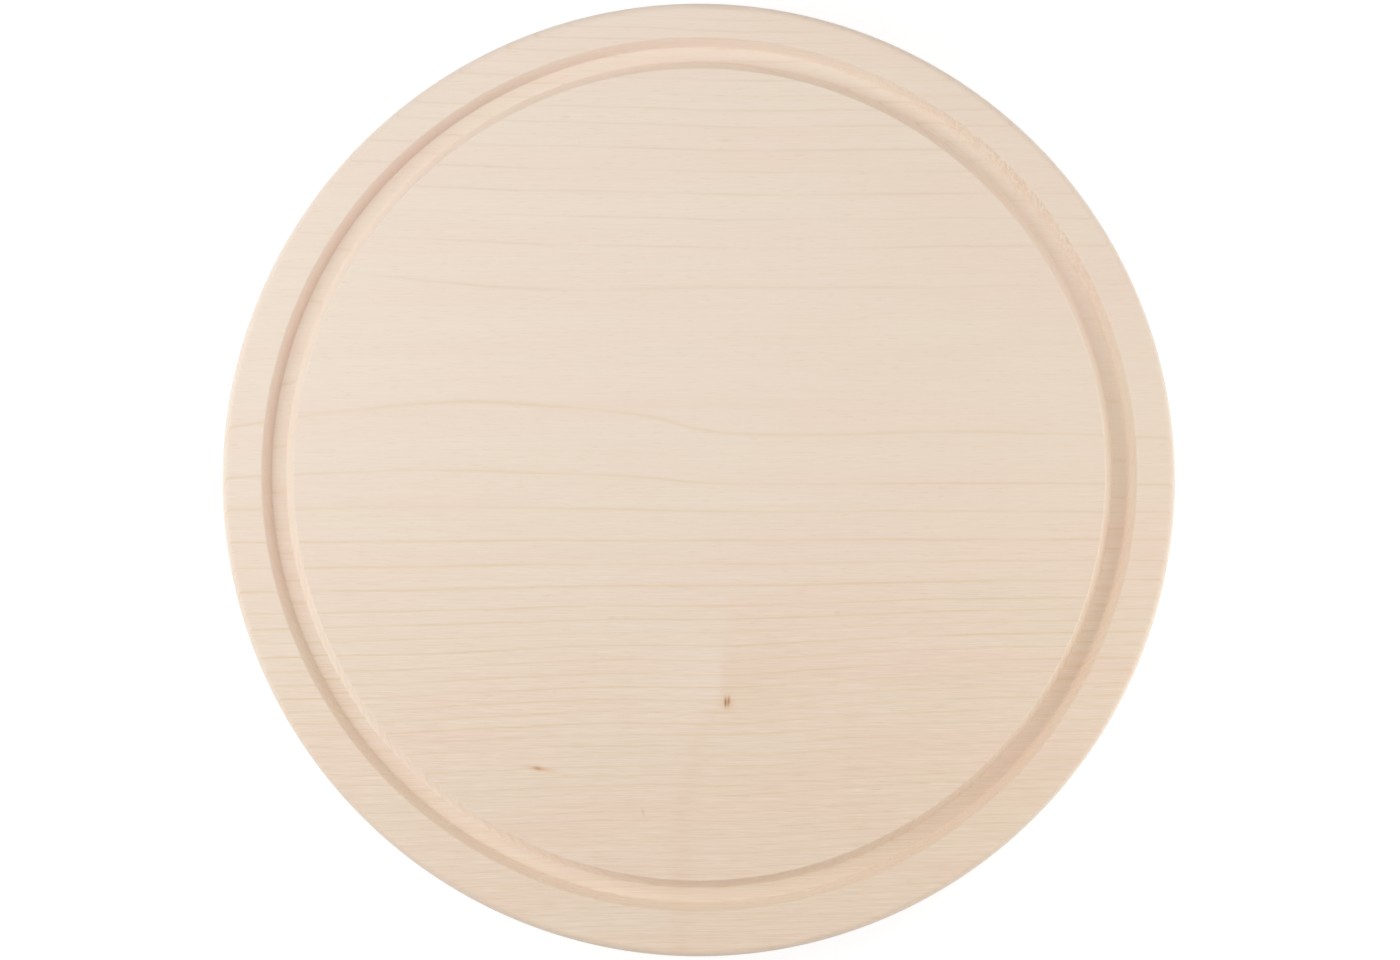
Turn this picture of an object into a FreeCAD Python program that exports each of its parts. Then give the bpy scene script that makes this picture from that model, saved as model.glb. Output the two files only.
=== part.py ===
# A round cutting board: one solid disc of flat-sawn maple with a juice groove routed near its rim.
# All sizes are in millimetres. The origin is the centre of the underside, +Z is up, and the grain runs along X.
import FreeCAD, Part
import os
from FreeCAD import Vector

# The disc that is cut and turned from one plank
board_diameter = 304.8
board_thickness = 19.05

# Both arrises of the rim are rounded over, the upper one for the hand and the lower one for lifting
upper_edge_radius = 2.4
lower_edge_radius = 2.4

# The juice groove has a flat floor between two sloping walls, and its floor corners are slightly round
rim_width = 12.6
groove_width = 10.15
groove_floor_width = 4.75
groove_depth = 4.0
groove_corner_radius = 0.8
# Sanding softens the two lips of the groove
lip_radius = 0.4
# The groove's circle was set a little off the disc's centre, so the rim is narrowest on the +Y side
groove_shift_x = 0.15
groove_shift_y = 1.75

# The groove cutter starts this far above the wood
cutter_lead_in = 2.0

board_radius = board_diameter / 2
groove_outer_radius = board_radius - rim_width
groove_inner_radius = groove_outer_radius - groove_width
groove_middle_radius = (groove_outer_radius + groove_inner_radius) / 2
board_centre = Vector(0, 0, 0)
groove_centre = Vector(groove_shift_x, groove_shift_y, 0)
up = Vector(0, 0, 1)


def rounded_outline(corners):
    """A closed outline in the XZ plane. Each corner is its distance from the axis, its height and its rounding
    radius, and an arc tangent to both sides takes the place of a corner whose radius isn't nought."""
    points = [Vector(distance, 0, height) for distance, height, _ in corners]
    runs = []
    for index, (_, _, radius) in enumerate(corners):
        corner = points[index]
        back = (points[index - 1] - corner).normalize()
        ahead = (points[(index + 1) % len(points)] - corner).normalize()
        if radius == 0:
            runs.append((corner, None, corner))
            continue
        half_sine = (ahead - back).Length / 2
        half_cosine = (ahead + back).Length / 2
        bisector = (ahead + back).normalize()
        tangent_length = radius * half_cosine / half_sine
        middle = corner + bisector * (radius / half_sine - radius)
        runs.append((corner + back * tangent_length, middle, corner + ahead * tangent_length))
    edges = []
    for index, (start, middle, end) in enumerate(runs):
        if middle is not None:
            edges.append(Part.Arc(start, middle, end).toShape())
        next_start = runs[(index + 1) % len(runs)][0]
        edges.append(Part.LineSegment(end, next_start).toShape())
    return Part.Wire(edges)


def turned(outline, centre):
    """The solid that an outline sweeps in one turn about the upright line through centre."""
    face = Part.Face(outline)
    face.translate(centre)
    return face.revolve(centre, up, 360)


def plain_disc():
    """The disc before routing, with its two round arrises."""
    outline = rounded_outline(
        [
            (0, 0, 0),
            (board_radius, 0, lower_edge_radius),
            (board_radius, board_thickness, upper_edge_radius),
            (0, board_thickness, 0),
        ]
    )
    return turned(outline, board_centre)


def groove_cut():
    """What the groove cutter clears: a flat floor, and walls that flare at one slope to above the wood."""
    floor_height = board_thickness - groove_depth
    half_floor = groove_floor_width / 2
    wall_run = (groove_width - groove_floor_width) / 2
    half_top = half_floor + wall_run * (groove_depth + cutter_lead_in) / groove_depth
    top_height = board_thickness + cutter_lead_in
    outline = rounded_outline(
        [
            (groove_middle_radius - half_top, top_height, 0),
            (groove_middle_radius - half_floor, floor_height, groove_corner_radius),
            (groove_middle_radius + half_floor, floor_height, groove_corner_radius),
            (groove_middle_radius + half_top, top_height, 0),
        ]
    )
    return turned(outline, groove_centre)


def groove_lips(solid):
    """The two circles where the groove's walls meet the cutting face."""
    near = 0.001
    lips = []
    for edge in solid.Edges:
        if edge.Curve.TypeId != "Part::GeomCircle":
            continue
        circle = edge.Curve
        about_groove = circle.Center.distanceToPoint(groove_centre + up * board_thickness) < near
        if about_groove and min(
            abs(circle.Radius - groove_inner_radius),
            abs(circle.Radius - groove_outer_radius),
        ) < near:
            lips.append(edge)
    return lips


cutting_board = plain_disc().cut(groove_cut())
cutting_board = cutting_board.makeFillet(lip_radius, groove_lips(cutting_board))

os.makedirs("parts", exist_ok=True)
cutting_board.exportStep("parts/cutting_board.step")

print("valid", cutting_board.isValid(), "solids", len(cutting_board.Solids), "faces", len(cutting_board.Faces))
print("volume in cm3", round(cutting_board.Volume / 1000, 2))
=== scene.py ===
"""A round cutting board: one disc of hard maple with a juice groove, on a white table, seen from above."""

import math

import bpy
import numpy as np
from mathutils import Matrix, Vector


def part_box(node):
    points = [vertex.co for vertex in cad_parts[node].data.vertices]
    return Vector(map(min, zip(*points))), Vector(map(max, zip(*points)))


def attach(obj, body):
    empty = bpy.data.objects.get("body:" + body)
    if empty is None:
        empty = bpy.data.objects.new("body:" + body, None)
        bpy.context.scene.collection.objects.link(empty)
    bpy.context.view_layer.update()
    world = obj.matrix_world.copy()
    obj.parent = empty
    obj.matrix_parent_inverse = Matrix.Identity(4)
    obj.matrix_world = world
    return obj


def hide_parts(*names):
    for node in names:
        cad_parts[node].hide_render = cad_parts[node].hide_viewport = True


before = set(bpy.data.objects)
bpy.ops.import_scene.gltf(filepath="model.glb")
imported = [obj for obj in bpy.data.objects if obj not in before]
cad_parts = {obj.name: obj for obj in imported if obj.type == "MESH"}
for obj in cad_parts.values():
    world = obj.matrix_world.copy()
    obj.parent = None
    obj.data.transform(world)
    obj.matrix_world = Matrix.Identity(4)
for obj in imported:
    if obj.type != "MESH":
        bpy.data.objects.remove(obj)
scene = bpy.context.scene
scene.view_settings.view_transform = "Standard"
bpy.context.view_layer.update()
mm = 0.001

# The board is one flat-sawn disc of hard maple. Its edges are rounded over, and a shallow
# flat-floored groove is cut round its face with the cutter a little off centre, towards
# the back. The wood is sanded and left raw.
low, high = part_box("cutting_board")
facet_slack = 0.02
board_radius = min(high.x - low.x, high.y - low.y) / 2 / mm - facet_slack
board_thickness = (high.z - low.z) / mm
edge_radius = 2.4
rim_width = 12.6
groove_width = 10.15
groove_floor_width = 4.75
groove_depth = 4.0
groove_corner_radius = 0.8
lip_radius = 0.4
groove_shift = np.array([0.15, 1.75])
turn_steps = 720
arc_steps = 8


def rounded_outline(corners):
    """Points and outward normals along a section. Each corner (x, z, radius) gives way to an arc that touches
    both of its sides: arc centre = corner + unit bisector * radius / sin(half angle), and its points are
    centre + arm, where the arm turns evenly from the first touching point to the last."""
    points, normals = [], []
    spots = np.array([corner[:2] for corner in corners], float)
    for k in range(1, len(corners) - 1):
        radius = corners[k][2]
        back = spots[k - 1] - spots[k]
        on = spots[k + 1] - spots[k]
        back, on = back / np.linalg.norm(back), on / np.linalg.norm(on)
        half_sine = np.linalg.norm(on - back) / 2
        half_cosine = np.linalg.norm(on + back) / 2
        centre = spots[k] + (on + back) / np.linalg.norm(on + back) * radius / half_sine
        reach = radius * half_cosine / half_sine
        first, last = spots[k] + back * reach - centre, spots[k] + on * reach - centre
        turn = math.acos(np.clip(first @ last / radius**2, -1, 1))
        share = np.linspace(0, 1, arc_steps + 1)[:, None]
        arm = (np.sin((1 - share) * turn) * first + np.sin(share * turn) * last) / math.sin(turn)
        # The section runs clockwise round the solid, so a right turn is an outer corner.
        outer = back[0] * on[1] - back[1] * on[0] > 0
        points.append(centre + arm)
        normals.append(arm / radius * (1 if outer else -1))
    return np.vstack(points), np.vstack(normals)


groove_outer = board_radius - rim_width
groove_inner = groove_outer - groove_width
groove_middle = (groove_outer + groove_inner) / 2
groove_floor = board_thickness - groove_depth
section, section_normals = rounded_outline([
    (0, board_thickness, 0),
    (groove_inner, board_thickness, lip_radius),
    (groove_middle - groove_floor_width / 2, groove_floor, groove_corner_radius),
    (groove_middle + groove_floor_width / 2, groove_floor, groove_corner_radius),
    (groove_outer, board_thickness, lip_radius),
    (board_radius, board_thickness, edge_radius),
    (board_radius, 0, edge_radius),
    (0, 0, 0),
])
groove_rings = 4 * (arc_steps + 1)


def carried_round(outline, normals, off_centre, shift):
    """The section carried round a circle: point(ring, angle) = (radius cos, radius sin, height), plus the
    shift on the rings that are cut off centre. The middle of each face is closed with a pole."""
    angle = np.linspace(0, 2 * np.pi, turn_steps, endpoint=False)
    moved = np.where(np.arange(len(outline)) < off_centre, 1.0, 0.0)[:, None]
    x = outline[:, :1] * np.cos(angle) + moved * shift[0]
    y = outline[:, :1] * np.sin(angle) + moved * shift[1]
    z = np.broadcast_to(outline[:, 1:], x.shape)
    nx, ny = normals[:, :1] * np.cos(angle), normals[:, :1] * np.sin(angle)
    nz = np.broadcast_to(normals[:, 1:], nx.shape)
    poles = np.array([[shift[0], shift[1], outline[0, 1]], [0, 0, outline[-1, 1]]])
    points = np.vstack([np.stack([x, y, z], -1).reshape(-1, 3), poles])
    turned = np.vstack([np.stack([nx, ny, nz], -1).reshape(-1, 3), [[0, 0, 1], [0, 0, -1]]])
    ring = np.arange(len(outline) - 1)[:, None] * turn_steps
    here = np.arange(turn_steps)
    after = (here + 1) % turn_steps
    quads = np.stack([ring + here, ring + turn_steps + here, ring + turn_steps + after, ring + after], -1)
    under = (len(outline) - 1) * turn_steps
    top_fan = np.stack([np.full(turn_steps, len(points) - 2), here, after], -1)
    low_fan = np.stack([np.full(turn_steps, len(points) - 1), under + after, under + here], -1)
    return points, turned, quads.reshape(-1, 4).tolist() + top_fan.tolist() + low_fan.tolist()


points, normals, faces = carried_round(section, section_normals, groove_rings, groove_shift)
board_mesh = bpy.data.meshes.new("maple_board")
board_mesh.from_pydata((points * mm).tolist(), [], faces)
board_mesh.shade_smooth()
board_mesh.normals_split_custom_set_from_vertices(normals.tolist())
board = bpy.data.objects.new("maple_board", board_mesh)
scene.collection.objects.link(board)

# What the cutter did to the groove, with light and shade painted in. It tore the grain on the outer wall
# where it came out against it, and bared the fibres' ends where it crossed them; on the right their warmth is
# also painted warm shade. Painted light and shade lie on the inner wall, painted shade on the outer wall's
# foot on the left, and a painted shadow tint makes that wall pinker.
from_groove = points[:, :2] - groove_shift
wall_radius = np.hypot(from_groove[:, 0], from_groove[:, 1])
wall_angle = np.degrees(np.arctan2(from_groove[:, 1], from_groove[:, 0]))
near_groove = np.abs(wall_radius - groove_middle) < groove_width / 2 + 1
above_floor = points[:, 2] > groove_floor - 1
below_face = np.clip((board_thickness - points[:, 2]) / 0.1, 0, 1)
in_groove = below_face * near_groove * above_floor


def ring_mark(radius, width, angle, spread):
    """A soft mark in the groove: e to the minus squared distance, off a circle and off an angle on it."""
    off_angle = (wall_angle - angle + 180) % 360 - 180
    return in_groove * np.exp(-(((wall_radius - radius) / width) ** 2) - (off_angle / spread) ** 2)


inner_wall = groove_inner + 1.2
foot = groove_middle + groove_floor_width / 2
torn = ring_mark(groove_outer - 1.0, 1.5, 42, 24)
# Painted light on the inner wall at the front left and at the back, and painted shade on it on the left.
painted_inner_wall_shading = ring_mark(inner_wall, 1.6, -116, 18) + 0.5 * ring_mark(inner_wall, 1.6, 92, 16)
painted_inner_wall_shading = painted_inner_wall_shading - 0.35 * ring_mark(inner_wall, 1.6, 165, 32)
# A painted shadow tint: the outer wall on the left turns pinker, as warm shade does.
painted_shadow_tint = ring_mark(foot + 0.9, 1.7, 145, 50) * np.clip((wall_radius - foot + 0.4) / 0.3, 0, 1)
# Painted shade: a dark line along the outer wall's foot on the left and back left, and a darker outer wall at
# the front left; painted light on the floor beside the foot and on the tinted wall.
painted_foot_shading = ring_mark(foot, 0.3, 160, 55) - 1.8 * ring_mark(foot - 0.9, 0.5, 160, 50) - 0.45 * painted_shadow_tint
painted_foot_shading = painted_foot_shading + 0.75 * ring_mark(foot + 0.2, 0.5, 122, 22) + 0.4 * ring_mark(foot + 1.6, 1.2, -125, 25)
# Warmer where the groove crosses the board, for the end grain it bares, and more on the right, which is
# painted warm shade. Painted light takes warmth off the inner wall at the front left, and some comes off at
# the back right.
to_right = np.cos(np.radians(wall_angle))
end_grain_and_painted_warmth = in_groove * np.clip((wall_radius - groove_inner) / 3, 0, 1) * to_right**2 * (0.65 + 0.35 * to_right)
end_grain_and_painted_warmth = end_grain_and_painted_warmth - 2.4 * ring_mark(inner_wall, 2.2, -134, 32) - ring_mark(groove_middle, 5, 31, 16)
groove_marks_and_painted_shading = {"torn": torn, "painted_inner_wall_shading": painted_inner_wall_shading, "painted_shadow_tint": painted_shadow_tint, "painted_foot_shading": painted_foot_shading, "end_grain_and_painted_warmth": end_grain_and_painted_warmth}
for name, values in groove_marks_and_painted_shading.items():
    kept = board_mesh.attributes.new(name, "FLOAT", "POINT")
    kept.data.foreach_set("value", values.astype(np.float32))


def linear(code):
    """An sRGB hex colour in linear light."""
    parts = [int(code[k:k + 2], 16) / 255 for k in (0, 2, 4)]
    return (*(p / 12.92 if p <= 0.04045 else ((p + 0.055) / 1.055) ** 2.4 for p in parts), 1.0)


def add(kind, *values, out=0, points=(), **settings):
    """Adds one node to the material in hand, with its settings by name, a curve's points, and its inputs in
    order, each a value, another node's output or None. Gives back one output."""
    made = nodes.new("ShaderNode" + kind)
    for name, value in settings.items():
        setattr(made, name, value)
    if points:
        made.mapping.use_clip = False
        curve = made.mapping.curves[0]
        curve.points[0].location, curve.points[1].location = points[0], points[-1]
        for spot in points[1:-1]:
            curve.points.new(*spot)
        made.mapping.update()
    for socket, value in zip(made.inputs, values):
        if isinstance(value, bpy.types.NodeSocket):
            links.new(value, socket)
        elif value is not None:
            socket.default_value = value
    return made.outputs[out]


def bell(value):
    """A soft line where the value is nought: e to the minus value squared."""
    squared = add("Math", value, value, operation="MULTIPLY")
    return add("Math", add("Math", squared, -1.0, operation="MULTIPLY"), operation="EXPONENT")


# Hard maple, flat sawn, sanded and raw: close creamy wood with thin tan growth lines along the
# board, short fibre flecks, and a matt surface that shows no gloss.
maple = bpy.data.materials.new("raw_sanded_hard_maple")
maple.use_nodes = True
nodes, links = maple.node_tree.nodes, maple.node_tree.links
nodes.clear()
cream = linear("edddcb")
rose = linear("eedac9")

place = add("VectorMath", add("TexCoord", out=3), (1000, 1000, 1000), operation="MULTIPLY")
x, y, z = add("SeparateXYZ", place).node.outputs

# The pith ran under the board, along it. Its line across the face wanders, and the rings near it follow.
# Those further towards the front rise to the right and sag at the knot. The curves are in mm.
pith_depth = 160.0
pith_line = 39.7
front_squeeze = 0.93
wander = add("FloatCurve", 1.0, x, points=[
    (-150, 5.6), (-110, 5.3), (-75, 4.4), (-56, 3.2), (-32, 2.4), (-12.4, 1.3), (0, 0), (20, -0.9),
    (48, -0.6), (80, -0.1), (112, -0.2), (150, -0.7)])
rise = add("FloatCurve", 1.0, x, points=[
    (-150, -0.7), (-128, -0.26), (-110, -0.01), (-94, 0.21), (-75, 0.36), (-56, 0.41), (-32, 0.35),
    (-12.4, 0.19), (0, 0), (20, -0.13), (48, -0.11), (80, -0.07), (112, -0.16), (150, -0.28)])
follow = add("FloatCurve", 1.0, y, points=[
    (-150, 0), (-40, 0), (-20, 0), (-12, 0.12), (-6, 0.28), (0, 0.52), (5, 0.68), (13, 1), (60, 1),
    (72, 0.78), (150, 0.7)])
sag = add("FloatCurve", 1.0, x, points=[
    (-150, -4.2), (-120, -3.6), (-95, -2.85), (-76, -2.0), (-57, -1.0), (-38, -0.14), (-19, 0.19), (0, 0),
    (5, -0.1), (12, -0.03), (19.5, 0.38), (38.6, 1.72), (58, 2.9), (77, 3.82), (100, 4.68), (120, 5.18),
    (150, 5.7)])
in_front = add("MapRange", y, -10.0, -62.0, 0.0, 1.0, interpolation_type="SMOOTHSTEP")
ripple = add("Mapping", place, None, None, (1 / 34, 1 / 14, 1 / 14))
ripple = add("Math", add("TexNoise", ripple, None, 1.0, 1.0, 0.5), -0.5, operation="ADD")
bend = add("Math", wander, follow, operation="MULTIPLY")
bend = add("Math", sag, in_front, bend, operation="MULTIPLY_ADD")
bend = add("Math", ripple, 1.1, bend, operation="MULTIPLY_ADD")
across = add("Math", add("Math", y, -pith_line, operation="ADD"), bend, operation="SUBTRACT")
front = add("Math", add("Math", across, 0.0, operation="MINIMUM"), front_squeeze, operation="MULTIPLY")
back = add("Math", across, 0.0, operation="MAXIMUM")
across = add("Math", front, back, operation="ADD")
is_back = add("Math", across, 0.0, operation="GREATER_THAN")
deep = add("Math", z, pith_depth - board_thickness, operation="ADD")
deep = add("Math", add("Math", rise, follow, operation="MULTIPLY"), deep, operation="ADD")
ring_radius = add("VectorMath", add("CombineXYZ", across, deep, 0.0), operation="LENGTH", out=1)

# Growth lines met on the face, in mm from the pith line, towards the front and the back. Further in the
# rings are all of one width, and further out they grow narrower.
first_ring = 10
last_ring = 56
inner_width = 2.6
outer_width = 2.05
front_lines = front_squeeze * np.array([23.35, 40.5, 49.3, 59.1, 66.6, 73.6, 80.0, 84.2, 88.3, 92.5, 97.3])
back_lines = np.array([21.7, 34.8, 43.5, 51.6, 58.8, 65.7, 73.4, 78.4, 82.9, 88.0])
ring_counts = []
for lines, narrowing in ((front_lines, 0.984), (back_lines, 0.995)):
    radii = np.hypot(lines, pith_depth)
    inner = radii[0] - inner_width * np.arange(first_ring, 0, -1)
    more = last_ring - first_ring - len(lines)
    outer = radii[-1] + outer_width * np.cumsum(narrowing ** np.arange(more))
    radii = np.concatenate([inner, radii, outer])
    count = add("FloatCurve", 1.0, ring_radius, points=[(float(r), float(k)) for k, r in enumerate(radii)])
    for spot in count.node.mapping.curves[0].points:
        spot.handle_type = "VECTOR"
    count.node.mapping.update()
    ring_counts.append(count)
ring_count = add("Mix", is_back, None, *ring_counts)

# One growth line: the dense late wood of a year. However flat its ring lies in the face, it meets the face
# as a line half a millimetre wide.
ring_width = 2.2
late_width = 0.28
ring_number = add("Math", ring_count, operation="ROUND")
off_line = add("Math", ring_count, ring_number, operation="SUBTRACT")
off_line = add("Math", off_line, ring_width / late_width, operation="MULTIPLY")
slant = add("Math", add("Math", across, operation="ABSOLUTE"), 10.0, operation="ADD")
slant = add("Math", ring_radius, slant, operation="DIVIDE")
late_wood = bell(add("Math", off_line, slant, operation="MULTIPLY"))

# Each line comes and goes along the board, and each year has its own strength. In front they are strongest
# halfway between the middle and the edge, and behind the pith line they are fainter.
along = add("Math", x, 1 / 45, operation="MULTIPLY")
stretch = add("CombineXYZ", along, add("Math", ring_number, 7.3, operation="MULTIPLY"), 0.0)
stretch = add("TexNoise", stretch, None, 1.0, 1.5, 0.55)
faintest = add("MapRange", is_back, 0.0, 1.0, 0.45, 0.2)
stretch = add("MapRange", stretch, 0.36, 0.6, faintest, 1.05)
year = add("TexWhiteNoise", None, ring_number, noise_dimensions="1D")
strength = add("MapRange", year, 0.0, 1.0, 0.26, 0.38)
is_first = add("Math", ring_number, float(first_ring), 0.4, operation="COMPARE")
strength = add("Mix", is_first, None, strength, 0.28)
packed = add("MapRange", across, -62.0, -80.0, 1.0, 1.25)
packed = add("Math", packed, add("MapRange", across, -95.0, -118.0, 1.0, 0.65), operation="MULTIPLY")
packed = add("Mix", is_back, None, packed, 0.69)
strength = add("Math", strength, packed, operation="MULTIPLY")
late_wood = add("Math", add("Math", late_wood, stretch, operation="MULTIPLY"), strength, operation="MULTIPLY")

# Fibres, in four coarsenesses: length along the board and width across it in mm, how much they warm the
# wood and how much they shade it. The finer two are faint where the rings lie flat in the face and strong
# towards the front, where sanding cuts more of them open.
tone = 0.0
shade = 0.0
cut_open = add("MapRange", across, -30.0, -105.0, 0.5, 1.6)
for length, width, warm, dark in (
        (9, 0.36, 0.24, 0.07),
        (50, 0.7, 0.19, 0.015),
        (110, 3.2, 0.09, 0.0),
        (220, 9, 0.07, 0.0)):
    fibre = add("Mapping", place, (length, 0, 0), None, (1 / length, 1 / width, 1 / width))
    fibre = add("TexNoise", fibre, None, 1.0, 1.0, 0.5)
    fibre = add("Math", fibre, -0.5, operation="ADD")
    if dark:
        fibre = add("Math", fibre, cut_open, operation="MULTIPLY")
        shade = add("Math", fibre, dark, shade, operation="MULTIPLY_ADD")
    tone = add("Math", fibre, warm, tone, operation="MULTIPLY_ADD")

# Short rays cut lengthwise show as scattered tan flecks, half a millimetre wide.
flecks = add("Mapping", place, (5.0, 9.0, 0), None, (1 / 5.0, 1 / 0.5, 1 / 0.5))
flecks = add("MapRange", add("TexNoise", flecks, None, 1.0, 1.0, 0.5), 0.62, 0.74, 0.0, 0.2)
tone = add("Math", flecks, tone, operation="ADD")

# Darker and warmer towards the front, and towards the right end and, less, the left.
warmth = add("MapRange", y, 50.0, -120.0, 0.0, 0.26, interpolation_type="SMOOTHSTEP")
warmth = add("Math", add("Math", x, operation="ABSOLUTE"), 0.0003, warmth, operation="MULTIPLY_ADD")
warmth = add("Math", x, 0.0006, warmth, operation="MULTIPLY_ADD")
tone = add("Math", tone, warmth, operation="ADD")

# A pin knot, where a twig grew out from the pith: two short brown strokes in an amber halo. The grain
# dips towards it, so the wood beside it is paler on one side and warmer on the other.
knot = (9.06, -71.1)
twig_lean = math.atan2(pith_line - knot[1], pith_depth)


def stain(centre, size, turn=0.0):
    """A soft mark round a line that leans with the twig: e to the minus squared distance, in its sizes."""
    lean = (twig_lean, 0.0, turn)
    spot = add("Mapping", place, (*centre, board_thickness), lean, (*size, 1e6), vector_type="TEXTURE")
    spot = add("VectorMath", spot, spot, operation="DOT_PRODUCT", out=1)
    return add("Math", add("Math", spot, -1.0, operation="MULTIPLY"), operation="EXPONENT")


# Each mark: where, how large, its turn, how much bark shows in it and how much amber resin. The first four
# are the knot, the next two a resin streak, and the rest small flaws.
bark = 0.0
amber = 0.0
for centre, size, turn, depth, resin in (
        ((knot[0] - 0.5, knot[1] + 0.1), (0.36, 1.2), 0.0, 0.76, 0.0),
        ((knot[0] + 0.5, knot[1] + 0.5), (0.34, 1.2), -0.1, 0.62, 0.0),
        ((knot[0] + 0.2, knot[1] + 0.4), (1.2, 1.4), 0.0, 0.1, 0.25),
        ((knot[0] + 0.4, knot[1] - 0.3), (2.4, 2.0), 0.0, 0.0, 0.2),
        ((-51.4, -92.0), (1.3, 0.5), -0.2, 0.36, 0.1),
        ((-50.6, -92.2), (4.6, 0.55), -0.15, 0.06, 0.45),
        ((-17.8, -106.0), (0.35, 0.9), 0.2, 0.22, 0.0),
        ((-27.8, -43.9), (1.1, 0.4), 0.0, 0.12, 0.0),
        ((44.3, -42.3), (0.8, 0.4), 0.0, 0.12, 0.0),
        ((8.7, 108.4), (1.6, 0.35), 0.0, 0.12, 0.0)):
    mark = stain(centre, size, turn)
    bark = add("Math", mark, depth, bark, operation="MULTIPLY_ADD")
    amber = add("Math", mark, resin, amber, operation="MULTIPLY_ADD")

# The line where the grain turns, which runs through the knot and drifts left below it as a warmer strip.
seam = add("FloatCurve", 1.0, y, points=[
    (-150, -6.0), (-125, -5.7), (-102, -5.0), (-91, -2.8), (-78, 2.0), (-70, 6.2), (-60, 7.3), (150, 7.4)])
beside = add("Math", x, seam, operation="SUBTRACT")
side = add("Math", add("Math", beside, 0.8, operation="MULTIPLY"), operation="TANH")
around = stain(knot, (22.0, 17.0))
side = add("Math", side, around, operation="MULTIPLY")
above = add("MapRange", y, knot[1] - 3, knot[1] + 4, 0.0, 1.0, interpolation_type="SMOOTHSTEP")
tone = add("Math", add("Math", side, above, operation="MULTIPLY"), 0.10, tone, operation="MULTIPLY_ADD")
tone = add("Math", side, 0.03, tone, operation="MULTIPLY_ADD")
strip = bell(add("Math", beside, 1 / 3.6, operation="MULTIPLY"))
below = add("MapRange", y, knot[1] - 1, knot[1] - 8, 0.0, 0.09, interpolation_type="SMOOTHSTEP")
tone = add("Math", strip, below, tone, operation="MULTIPLY_ADD")

# End grain drinks the light, so the edge turns warmer where it faces along the board. The rounded arris
# above it, and the groove's lips, get a painted highlight, paler the more they lean from straight up.
facing_x, facing_y, facing_z = add("SeparateXYZ", add("TexCoord", out=1)).node.outputs
end_grain = add("Math", facing_x, facing_x, operation="MULTIPLY")
from_axis = add("VectorMath", add("CombineXYZ", x, y, 0.0), operation="LENGTH", out=1)
outside = add("MapRange", from_axis, board_radius - 4.0, board_radius - 3.0)
on_edge = add("Math", end_grain, outside, operation="MULTIPLY")
tone = add("Math", on_edge, 0.15, tone, operation="MULTIPLY_ADD")
near_top = add("MapRange", z, board_thickness - 4.0, board_thickness - 2.0, 0.0, 1.0,
               interpolation_type="SMOOTHSTEP")
painted_lip_highlight = add("MapRange", z, board_thickness - 0.5, board_thickness - 0.15, 0.0, 0.6)
painted_edge_highlight = add("Math", add("Math", near_top, outside, operation="MULTIPLY"), painted_lip_highlight, operation="MAXIMUM")
leaning = add("MapRange", facing_z, 0.98, 0.45, 0.0, 1.0)
painted_edge_highlight = add("Math", painted_edge_highlight, leaning, operation="MULTIPLY")

# The groove's end grain and painted warm shade, its painted light and shade, and torn grain. Torn grain
# stands up in short curls across the board, golden beside pale.
tone = add("Math", add("Attribute", attribute_name="end_grain_and_painted_warmth", out=2), 0.15, tone, operation="MULTIPLY_ADD")
shade = add("Math", add("Attribute", attribute_name="painted_inner_wall_shading", out=2), -0.16, shade, operation="MULTIPLY_ADD")
shade = add("Math", add("Attribute", attribute_name="painted_foot_shading", out=2), 0.13, shade, operation="MULTIPLY_ADD")
curls = add("Mapping", place, None, (0, 0, 0.35), (1 / 1.2, 1 / 3.0, 1 / 3.0))
curls = add("TexNoise", curls, None, 1.0, 1.0, 0.5, None, None, None, 1.5)
curls = add("MapRange", curls, 0.42, 0.58, -0.45, 0.75)
curls = add("Math", curls, add("Attribute", attribute_name="torn", out=2), operation="MULTIPLY")
tone = add("Math", curls, 0.6, tone, operation="MULTIPLY_ADD")

# Broad patches run from cream to rose. Light that goes deeper into the wood comes back darker and warmer:
# colour to the power of one plus the tone.
patches = add("Mapping", place, None, None, (1 / 90, 1 / 16, 1 / 16))
patches = add("TexNoise", patches, None, 1.0, 1.0, 0.5)
patches = add("MapRange", patches, 0.35, 0.65, 0.18, 0.82)
wood = add("MixRGB", patches, cream, rose)
wood = add("Gamma", wood, add("Math", tone, 1.0, operation="ADD"))
wood = add("VectorMath", wood, None, None, add("Math", 1.0, shade, operation="SUBTRACT"), operation="SCALE")
# Painted shadow tint: the outer wall on the left is turned pinker, standing in for warm shade.
painted_shadow_tint_amount = add("Attribute", attribute_name="painted_shadow_tint", out=2)
wood = add("MixRGB", painted_shadow_tint_amount, wood, linear("fff3f2"), blend_type="MULTIPLY")
# Late wood is golden near the heart, and greyer towards the back.
late_colour = add("MixRGB", is_back, linear("d9bb89"), linear("d0b594"))
wood = add("MixRGB", late_wood, wood, late_colour)
wood = add("MixRGB", amber, wood, linear("dfaa78"))
wood = add("MixRGB", add("Math", bark, 0.9, operation="MINIMUM"), wood, linear("945c26"))
# Painted highlight on the arris and the lips, mixed halfway towards a pale cream.
wood = add("MixRGB", add("Math", painted_edge_highlight, 0.5, operation="MULTIPLY"), wood, linear("f7efe4"))

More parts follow.
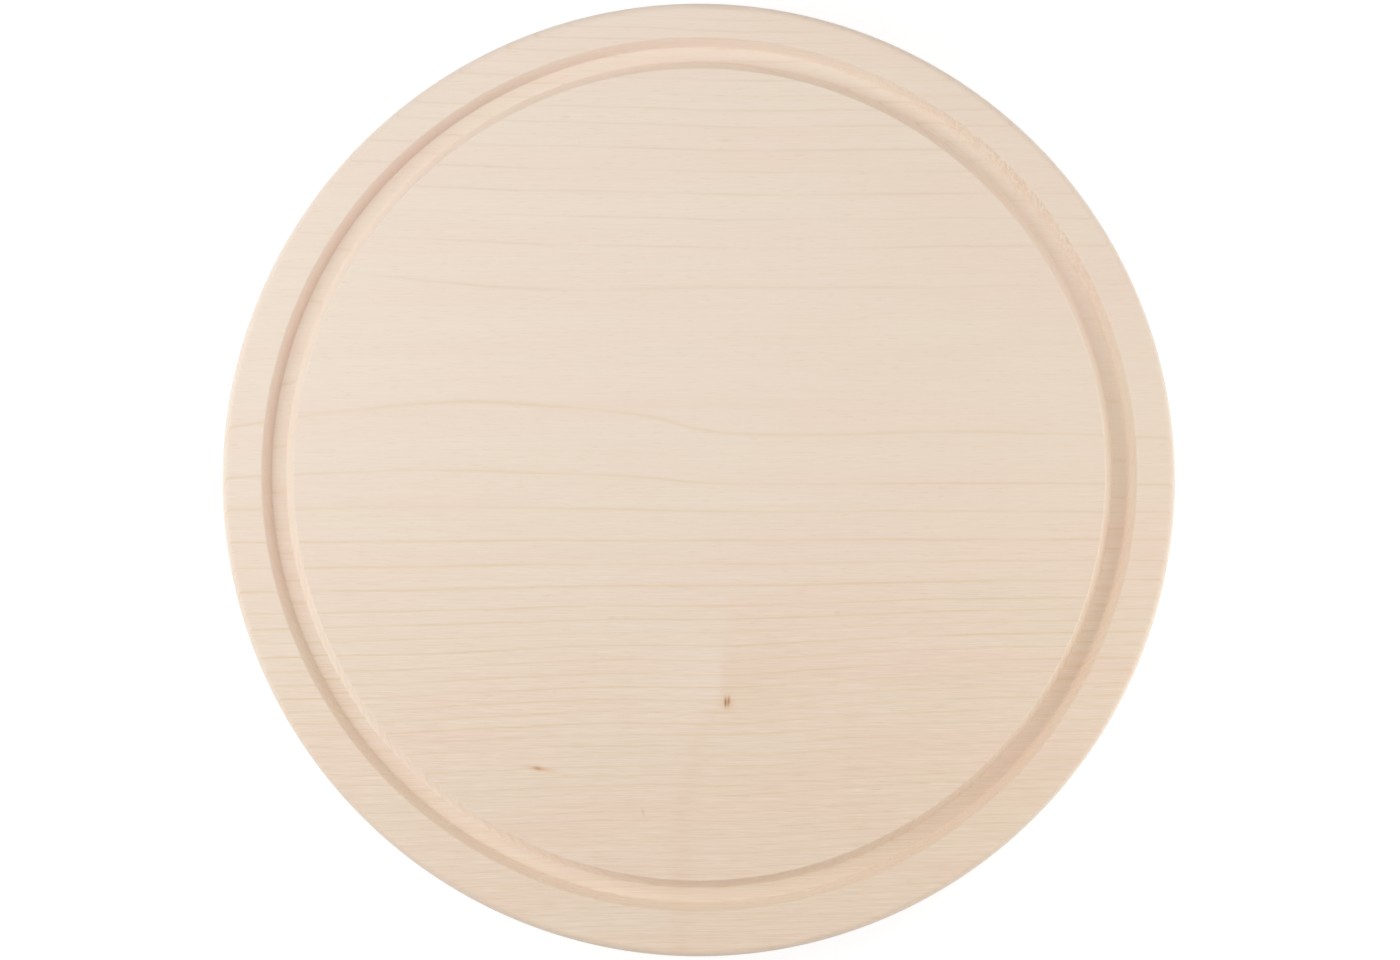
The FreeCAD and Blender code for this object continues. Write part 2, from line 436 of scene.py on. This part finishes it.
# Raw sanded wood is matt, with a little sheen from the fibre ends that stand up from it.
shader = nodes.new("ShaderNodeBsdfPrincipled")
shader.inputs["Roughness"].default_value = 0.65
shader.inputs["IOR"].default_value = 1.45
shader.inputs["Specular IOR Level"].default_value = 0.3
shader.inputs["Sheen Weight"].default_value = 0.15
links.new(wood, shader.inputs["Base Color"])
surface = nodes.new("ShaderNodeOutputMaterial")
links.new(shader.outputs[0], surface.inputs["Surface"])
board_mesh.materials.append(maple)
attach(board, "root")
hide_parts("cutting_board")

# The table is a plain white sheet. The camera sees it lighter than it lights the board, so it reads
# as white paper that keeps a trace of the board's shadow.
table_size = 8.0
half = table_size / 2
table_corners = [(-half, -half, 0), (half, -half, 0), (half, half, 0), (-half, half, 0)]
table_mesh = bpy.data.meshes.new("white_table")
table_mesh.from_pydata(table_corners, [], [(0, 1, 2, 3)])
table = bpy.data.objects.new("white_table", table_mesh)
scene.collection.objects.link(table)
paper = bpy.data.materials.new("matt_white_paper")
paper.use_nodes = True
nodes, links = paper.node_tree.nodes, paper.node_tree.links
nodes.clear()


def looked_at():
    """One for a ray by which the camera sees, straight, mirrored or through glass, and nought for the light
    that one surface throws on another."""
    ray = add("LightPath").node.outputs
    seen = add("Math", ray["Is Camera Ray"], ray["Is Glossy Ray"], operation="MAXIMUM")
    return add("Math", seen, ray["Is Transmission Ray"], operation="MAXIMUM")


lit = add("BsdfDiffuse", linear("e7e7e7"))
seen_lit = add("AddShader", add("BsdfDiffuse", linear("a8a8a8")), add("Emission", linear("ffffff"), 0.72))
sheet = add("MixShader", looked_at(), lit, seen_lit)
surface = nodes.new("ShaderNodeOutputMaterial")
links.new(sheet, surface.inputs["Surface"])
table_mesh.materials.append(paper)

# The room round the table looks white, and throws a weak warm light from all sides.
world = bpy.data.worlds.new("white_room")
scene.world = world
world.use_nodes = True
nodes, links = world.node_tree.nodes, world.node_tree.links
nodes.clear()
room_light = 0.276
seen = looked_at()
room_colour = add("MixRGB", seen, linear("ffddc5"), linear("ffffff"))
room = add("Background", room_colour, add("MapRange", seen, 0.0, 1.0, room_light, 1.0))
surface = nodes.new("ShaderNodeOutputWorld")
links.new(room, surface.inputs["Surface"])

# Square soft boxes, most of them on the left, with one hung over the back and a low one on the right. Each
# gives its share of the light on the face. They are a little cool, and with the room's warm light they
# make white.
daylight = linear("ecf8ff")
for name, azimuth, elevation, distance, width, share in (
        ("left_softbox", 180, 30, 0.75, 0.35, 0.185),
        ("left_front_softbox", 225, 50, 0.75, 0.35, 0.153),
        ("left_back_softbox", 135, 30, 0.75, 0.35, 0.063),
        ("overhead_softbox", 90, 70, 0.45, 0.3, 0.119),
        ("right_back_softbox", 45, 50, 0.75, 0.35, 0.12),
        ("low_right_softbox", 337.5, 20, 0.45, 0.3, 0.12),
        ("right_softbox", 22.5, 15, 0.75, 0.35, 0.037),
        ("front_softbox", 270, 50, 0.75, 0.35, 0.03)):
    lamp = bpy.data.lights.new(name, "AREA")
    lamp.shape = "SQUARE"
    lamp.size = width
    lamp.color = daylight[:3]
    turn, lift = math.radians(azimuth), math.radians(elevation)
    lamp.energy = share * (math.pi * distance) ** 2 / math.sin(lift) / daylight[1]
    box = bpy.data.objects.new(name, lamp)
    towards = Vector((math.cos(lift) * math.cos(turn), math.cos(lift) * math.sin(turn), math.sin(lift)))
    box.location = distance * towards
    box.rotation_euler = towards.to_track_quat("Z", "Y").to_euler()
    box.visible_camera = False
    scene.collection.objects.link(box)

# The camera looks straight down from a metre above the face. The board's centre sits 1.3 pixels left of
# the frame's centre, and its radius is 476.3 pixels of 1400.
camera_height = 1.0
frame_width = 1400
board_pixels = 476.3
centre_left = 1.3
camera = bpy.data.cameras.new("overhead_camera")
camera.sensor_width = 36
focal = board_pixels * (camera_height + edge_radius * mm) / (board_radius * mm)
camera.lens = camera.sensor_width * focal / frame_width
view = bpy.data.objects.new("overhead_camera", camera)
view.location = (centre_left / focal * camera_height, 0, board_thickness * mm + camera_height)
scene.collection.objects.link(view)
scene.camera = view
